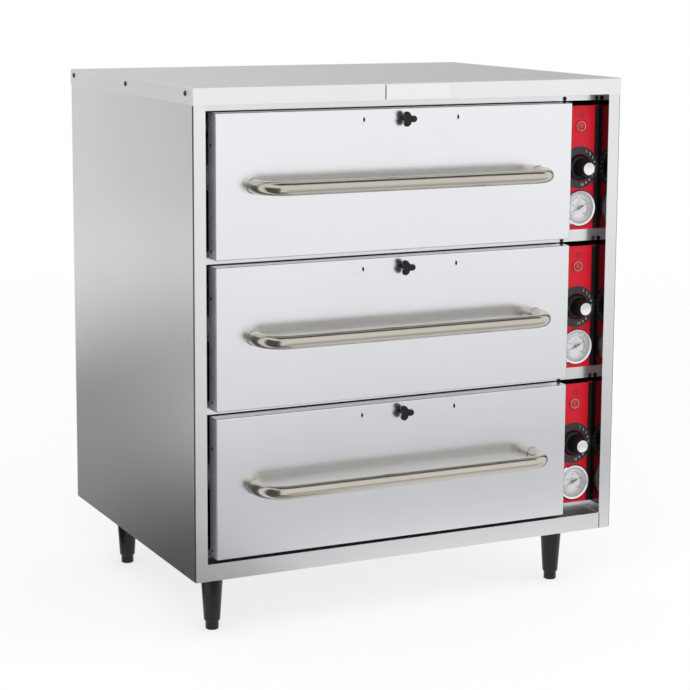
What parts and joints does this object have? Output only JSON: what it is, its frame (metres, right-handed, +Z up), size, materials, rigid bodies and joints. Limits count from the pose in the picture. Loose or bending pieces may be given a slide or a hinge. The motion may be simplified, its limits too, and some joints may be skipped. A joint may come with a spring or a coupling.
{
  "type": "warming drawer",
  "caption": "Free-standing steel food warmer with pull-out pan drawers on roller slides, tube handles, vent slides and a column of thermostats and thermometers.",
  "frame": {"origin": "on the floor under the middle of the whole object's box", "axes": "+X to the right seen from the front, +Y to the back, +Z up"},
  "size_m": [0.7632, 0.6383, 0.87],
  "materials": {
    "steel": "brushed",
    "cover_steel": "satin brushed",
    "front_steel": "brushed",
    "plated_steel": "zinc plated",
    "handle_steel": "satin tube",
    "pan_steel": "drawn, bright",
    "panel_red": "gloss red",
    "dial_black": "satin black",
    "knob_black": "black",
    "lamp_red": "translucent red",
    "bezel_chrome": "polished",
    "lens_glass": "clear",
    "needle_black": "black",
    "leg_black": "black",
    "screw_black": "black",
    "nylon": "natural nylon",
    "element_steel": "heat darkened",
    "fibre": "glass fibre blanket",
    "control_box": "moulded"
  },
  "bodies": {
    "cabinet": {"top_cover": "cover_steel", "side_panel_left": "steel", "side_panel_right": "steel", "back_panel": "steel", "base_panel": "steel", "front_rails": "steel", "liner_left": "steel", "liner_right": "steel", "liner_back": "steel", "liner_top": "steel", "heating_elements": "element_steel", "dial_plates": "dial_black", "thermostats": "control_box", "pilot_lamps": "lamp_red", "thermometer_cases": "bezel_chrome", "thermometer_lenses": "lens_glass", "legs": "leg_black", "cover_screws": "screw_black", "cord_gland": "knob_black", "insulation": "fibre", "bay_floor_lower": "steel", "control_panel_lower": "panel_red", "slide_channels_lower": "plated_steel", "bay_floor_middle": "steel", "control_panel_middle": "panel_red", "slide_channels_middle": "plated_steel", "bay_floor_upper": "steel", "control_panel_upper": "panel_red", "slide_channels_upper": "plated_steel"},
    "drawer_lower": {"drawer_front_lower": "front_steel", "handle_lower": "handle_steel", "drawer_frame_lower": "plated_steel", "pan_lower": "pan_steel"},
    "vent_lower": {"vent_plate_lower": "front_steel", "vent_knob_lower": "knob_black"},
    "thermostat_knob_lower": {"knob_lower": "knob_black"},
    "needle_lower": {"gauge_needle_lower": "needle_black"},
    "front_rollers_lower": {"cabinet_rollers_lower": "nylon"},
    "rear_rollers_lower": {"drawer_rollers_lower": "nylon"},
    "drawer_middle": {"drawer_front_middle": "front_steel", "handle_middle": "handle_steel", "drawer_frame_middle": "plated_steel", "pan_middle": "pan_steel"},
    "vent_middle": {"vent_plate_middle": "front_steel", "vent_knob_middle": "knob_black"},
    "thermostat_knob_middle": {"knob_middle": "knob_black"},
    "needle_middle": {"gauge_needle_middle": "needle_black"},
    "front_rollers_middle": {"cabinet_rollers_middle": "nylon"},
    "rear_rollers_middle": {"drawer_rollers_middle": "nylon"},
    "drawer_upper": {"drawer_front_upper": "front_steel", "handle_upper": "handle_steel", "drawer_frame_upper": "plated_steel", "pan_upper": "pan_steel"},
    "vent_upper": {"vent_plate_upper": "front_steel", "vent_knob_upper": "knob_black"},
    "thermostat_knob_upper": {"knob_upper": "knob_black"},
    "needle_upper": {"gauge_needle_upper": "needle_black"},
    "front_rollers_upper": {"cabinet_rollers_upper": "nylon"},
    "rear_rollers_upper": {"drawer_rollers_upper": "nylon"}
  },
  "joints": [
    {"name": "drawer_slide_lower", "type": "slide", "parent": "cabinet", "child": "drawer_lower", "axis": [0, -1, 0], "range_m": [0, 0.38]},
    {"name": "vent_slide_lower", "type": "slide", "parent": "drawer_lower", "child": "vent_lower", "axis": [1, 0, 0], "range_m": [-0.0165, 0.0165]},
    {"name": "knob_turn_lower", "type": "hinge", "parent": "cabinet", "child": "thermostat_knob_lower", "pos_m": [0.3213, -0.22405, 0.2527], "axis": [0, 1, 0], "range_deg": [0, 260]},
    {"name": "needle_turn_lower", "type": "hinge", "parent": "cabinet", "child": "needle_lower", "pos_m": [0.3213, -0.22505, 0.1849], "axis": [0, 1, 0], "range_deg": [0, 230], "stiffness_Nm_per_rad": 0.002},
    {"name": "front_roller_turn_lower", "type": "hinge", "parent": "cabinet", "child": "front_rollers_lower", "pos_m": [0, -0.18805, 0.2587], "axis": [1, 0, 0], "range_deg": [0, 1482]},
    {"name": "rear_roller_turn_lower", "type": "hinge", "parent": "drawer_lower", "child": "rear_rollers_lower", "pos_m": [0, 0.24395, 0.2587], "axis": [1, 0, 0], "range_deg": [0, 1482]},
    {"name": "drawer_slide_middle", "type": "slide", "parent": "cabinet", "child": "drawer_middle", "axis": [0, -1, 0], "range_m": [0, 0.38]},
    {"name": "vent_slide_middle", "type": "slide", "parent": "drawer_middle", "child": "vent_middle", "axis": [1, 0, 0], "range_m": [-0.0165, 0.0165]},
    {"name": "knob_turn_middle", "type": "hinge", "parent": "cabinet", "child": "thermostat_knob_middle", "pos_m": [0.3213, -0.22405, 0.487], "axis": [0, 1, 0], "range_deg": [0, 260]},
    {"name": "needle_turn_middle", "type": "hinge", "parent": "cabinet", "child": "needle_middle", "pos_m": [0.3213, -0.22505, 0.4192], "axis": [0, 1, 0], "range_deg": [0, 230], "stiffness_Nm_per_rad": 0.002},
    {"name": "front_roller_turn_middle", "type": "hinge", "parent": "cabinet", "child": "front_rollers_middle", "pos_m": [0, -0.18805, 0.493], "axis": [1, 0, 0], "range_deg": [0, 1482]},
    {"name": "rear_roller_turn_middle", "type": "hinge", "parent": "drawer_middle", "child": "rear_rollers_middle", "pos_m": [0, 0.24395, 0.493], "axis": [1, 0, 0], "range_deg": [0, 1482]},
    {"name": "drawer_slide_upper", "type": "slide", "parent": "cabinet", "child": "drawer_upper", "axis": [0, -1, 0], "range_m": [0, 0.38]},
    {"name": "vent_slide_upper", "type": "slide", "parent": "drawer_upper", "child": "vent_upper", "axis": [1, 0, 0], "range_m": [-0.0165, 0.0165]},
    {"name": "knob_turn_upper", "type": "hinge", "parent": "cabinet", "child": "thermostat_knob_upper", "pos_m": [0.3213, -0.22405, 0.7213], "axis": [0, 1, 0], "range_deg": [0, 260]},
    {"name": "needle_turn_upper", "type": "hinge", "parent": "cabinet", "child": "needle_upper", "pos_m": [0.3213, -0.22505, 0.6535], "axis": [0, 1, 0], "range_deg": [0, 230], "stiffness_Nm_per_rad": 0.002},
    {"name": "front_roller_turn_upper", "type": "hinge", "parent": "cabinet", "child": "front_rollers_upper", "pos_m": [0, -0.18805, 0.7273], "axis": [1, 0, 0], "range_deg": [0, 1482]},
    {"name": "rear_roller_turn_upper", "type": "hinge", "parent": "drawer_upper", "child": "rear_rollers_upper", "pos_m": [0, 0.24395, 0.7273], "axis": [1, 0, 0], "range_deg": [0, 1482]}
  ],
  "couplings": [
    {"joint": "front_roller_turn_lower", "follows": "drawer_slide_lower", "rad_per_m": 68.027},
    {"joint": "rear_roller_turn_lower", "follows": "drawer_slide_lower", "rad_per_m": 68.027},
    {"joint": "front_roller_turn_middle", "follows": "drawer_slide_middle", "rad_per_m": 68.027},
    {"joint": "rear_roller_turn_middle", "follows": "drawer_slide_middle", "rad_per_m": 68.027},
    {"joint": "front_roller_turn_upper", "follows": "drawer_slide_upper", "rad_per_m": 68.027},
    {"joint": "rear_roller_turn_upper", "follows": "drawer_slide_upper", "rad_per_m": 68.027}
  ]
}
